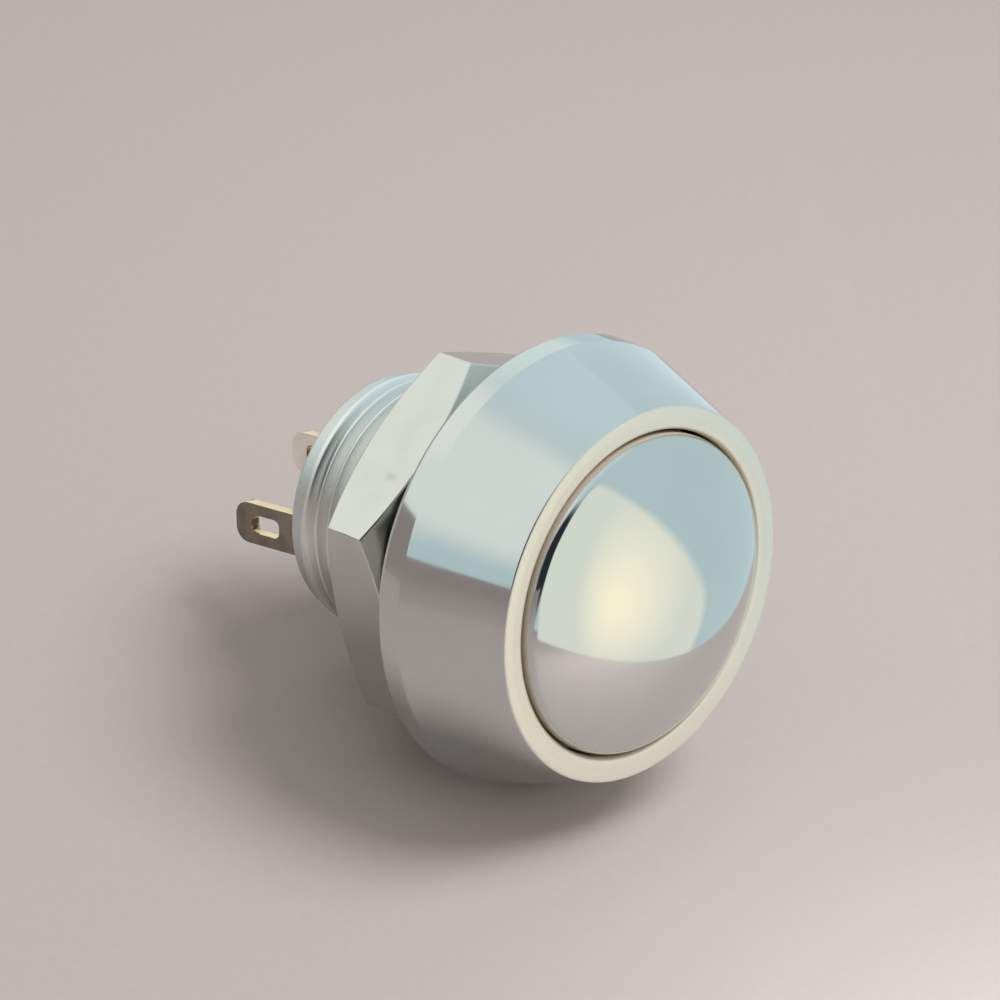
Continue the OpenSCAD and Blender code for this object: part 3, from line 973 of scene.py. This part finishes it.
def make_reflector():
    """Reflector card that glows, with a painted pool of warm light on its left."""
    left, right = reflector_ends
    corners = [
        on_reflector(left, 0),
        on_reflector(right, 0),
        on_reflector(right, reflector_h),
        on_reflector(left, reflector_h),
    ]
    shade, colour = make_card("reflector", corners)
    run = Vector((*reflector_run, 0))
    slope = math.tan(floor_lean) * reflector_run.y
    from_foot = shade.vector("SUBTRACT", shade.place, on_reflector(0, 0))
    along = shade.vector("DOT_PRODUCT", from_foot, run)
    height = shade.vector("DOT_PRODUCT", from_foot, Vector((0, 0, 1)) - slope * run)

    # Painted pool of light on the glowing card: the lit patch and its brighter heart
    from_heart = shade.length(
        shade.math("SUBTRACT", along, heart_along),
        shade.math("SUBTRACT", height, heart_h),
    )
    heart = shade.spread(from_heart, 1.0, 0.0, from_low=heart_full_r, from_high=heart_r)
    past_slant = shade.math("SUBTRACT", along, lit_slant_foot)
    past_slant = shade.math("MULTIPLY", past_slant, math.cos(lit_slant))
    past_slant = shade.math("ADD", past_slant, shade.math("MULTIPLY", height, math.sin(lit_slant)))
    past_side = shade.math("SUBTRACT", along, lit_side)
    lit = shade.below(shade.math("SMOOTH_MAX", past_slant, past_side, lit_corner), 0.0, lit_soft)
    far = shade.spread(along, 0.0, 1.0, from_low=far_from, from_high=far_to, smooth=True)
    unlit = shade.mix(far, backdrop, far_tone)
    shade.link(shade.mix(lit, unlit, shade.mix(heart, painted_lit_tone, painted_heart_tone)), colour)


# Glowing card as the upturned edge of the paper to the left of the part, in a plane across the part's own X
# axis:
# its outline of (y, z) corners, and its tones at two heights: the floor's tone below and painted shade above
sweep_x = -66.0
sweep_corners = [(-70, -60), (70, -40), (70, 55), (38, 35), (2, 12.2), (-70, 11)]
sweep_low_z = -14.0
sweep_high_z = 6.0
sweep_low_tone = (0.50, 0.445, 0.42)
sweep_painted_shade_tone = (0.34, 0.30, 0.285)


def make_sweep():
    """Glowing edge of the paper that carries the floor's tone above its horizon, with painted shade that
    darkens upwards.
    """
    shade, colour = make_card("paper_edge", [(sweep_x, y, z) for y, z in sweep_corners])
    # Painted shade: the card's tone darkens upwards
    height = shade.vector("DOT_PRODUCT", shade.place, (0, 0, 1))
    share = shade.spread(height, 0.0, 1.0, from_low=sweep_low_z, from_high=sweep_high_z)
    shade.link(shade.mix(share, sweep_low_tone, sweep_painted_shade_tone), colour)


def make_studio():
    """Pale plain studio."""
    bpy.context.scene.view_settings.view_transform = "Standard"
    make_world()
    make_lamps()
    make_floor()
    make_reflector()
    make_sweep()


# Finishes: how each is made, its light and dark tone, its roughness, and the strength of its marks or grain
finishes = {
    "bright_plate": (bezel_plate, (0.63, 0.645, 0.64), (0.60, 0.62, 0.62), 0.06, 0.10),
    "mirror_plate": (dome_plate, (0.64, 0.655, 0.65), (0.62, 0.64, 0.64), 0.04, 0.04),
    "nut_plate": (nut_metal, (0.64, 0.65, 0.63), (0.60, 0.61, 0.59), 0.10, 0.12),
    "spring_wire": (flat_metal, (0.62, 0.63, 0.64), (0.50, 0.51, 0.53), 0.18, 0.15),
    "clip_steel": (flat_metal, (0.36, 0.37, 0.39), (0.28, 0.29, 0.31), 0.32, 0.20),
    "contact_brass": (plate_metal, (0.84, 0.64, 0.32), (0.76, 0.56, 0.27), 0.16, 0.10),
    "contact_silver": (plate_metal, (0.90, 0.89, 0.86), (0.80, 0.78, 0.74), 0.14, 0.10),
    # Darker copy of the plated lug finish: painted shade on the outer lug
    "lug_painted_shade": (lug_metal, (0.30, 0.26, 0.22), (0.20, 0.17, 0.14), 0.16, 0.08),
    "lug_plated": (lug_metal, (0.95, 0.93, 0.89), (0.88, 0.85, 0.80), 0.16, 0.08),
    "rubber": (moulded, (0.030, 0.030, 0.033), (0.018, 0.018, 0.020), 0.62, 0.25),
    "acetal": (moulded, (0.80, 0.78, 0.70), (0.74, 0.72, 0.64), 0.38, 0.10),
    "black_moulding": (moulded, (0.034, 0.032, 0.031), (0.020, 0.019, 0.018), 0.34, 0.20),
}
# Pieces that are made here, with their finishes
made_pieces = [
    (bezel_body, "bright_plate"),
    (push_button, "mirror_plate"),
    (hex_nut, "nut_plate"),
    (return_spring, "spring_wire"),
    (contact_spring, "spring_wire"),
]
# CAD nodes that stay, with their finishes, and those of them whose edges show
kept_nodes = {
    "panel_seal": "rubber",
    "stem_seal": "rubber",
    "guide_bush": "acetal",
    "stem_washer": "acetal",
    "insulating_sleeve": "acetal",
    "stem_clip": "clip_steel",
    "plunger": "black_moulding",
    "terminal_base": "black_moulding",
    "contact_cup": "contact_brass",
    # The outer lug wears painted shade, a darker copy of the plated lug finish
    "outer_terminal": "lug_painted_shade",
    "centre_terminal": "lug_plated",
    "ring_rivets": "contact_silver",
    "centre_contact": "contact_silver",
}
rounded_nodes = ["outer_terminal", "centre_terminal", "terminal_base"]


def make_pieces():
    """Every piece of the part with its finish."""
    materials = {name: make(name, *values) for name, (make, *values) in finishes.items()}
    for make_piece, finish in made_pieces:
        dress(make_piece(), materials[finish])
    for node, finish in kept_nodes.items():
        dress(nodes[node], materials[finish])
    for node in rounded_nodes:
        refine(node)


make_camera()
make_studio()
make_pieces()
